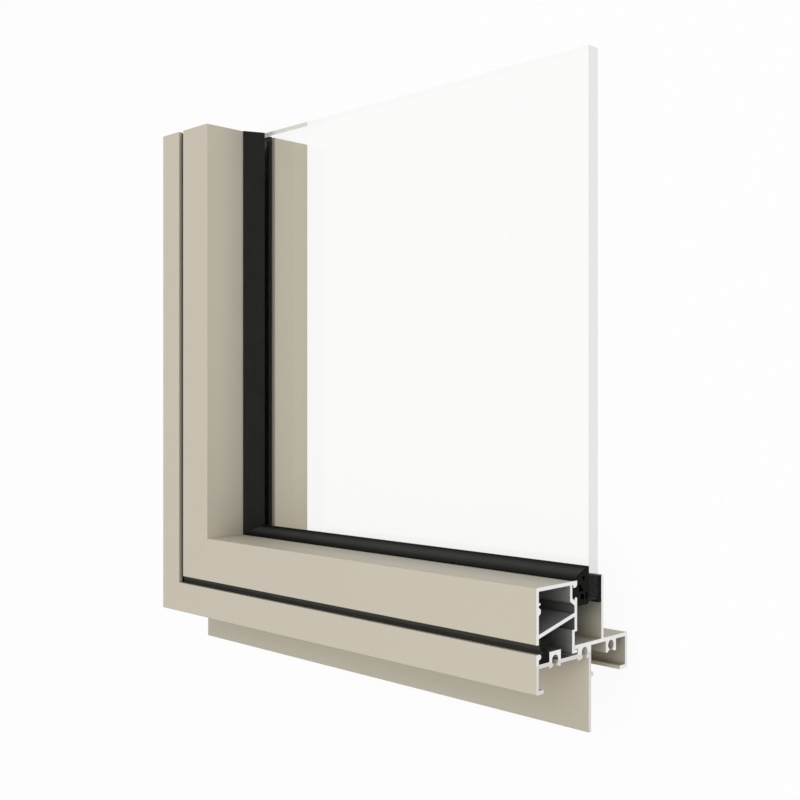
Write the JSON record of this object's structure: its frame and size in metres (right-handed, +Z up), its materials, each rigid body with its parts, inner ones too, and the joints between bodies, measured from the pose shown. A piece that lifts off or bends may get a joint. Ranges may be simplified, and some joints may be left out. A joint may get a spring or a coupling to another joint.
{
  "type": "window frame profile section",
  "caption": "Corner sample of a fixed window: coated aluminium sill and jamb with fixing fins, hollow glazing beads, black gaskets and a clear pane, sawn to show the section.",
  "frame": {"origin": "under the middle of the footprint, on the floor that the sample lies on with its outside face up", "axes": "+X along the sill to its saw cut, +Y along the jamb to its saw cut, +Z up out of the outside face"},
  "size_m": [0.2708, 0.2708, 0.0665],
  "materials": {
    "coated_aluminium": "satin beige powder coat, bare saw cuts",
    "gasket_rubber": "matt black",
    "clear_glass": "clear, cut edges"
  },
  "bodies": {
    "root": {"sill_frame": "coated_aluminium", "jamb_frame": "coated_aluminium", "sill_bead": "coated_aluminium", "jamb_bead": "coated_aluminium", "sill_glazing_gasket": "gasket_rubber", "jamb_glazing_gasket": "gasket_rubber", "sill_back_gasket": "gasket_rubber", "jamb_back_gasket": "gasket_rubber", "sill_gap_seal": "gasket_rubber", "jamb_gap_seal": "gasket_rubber", "glass_pane": "clear_glass"}
  },
  "joints": []
}
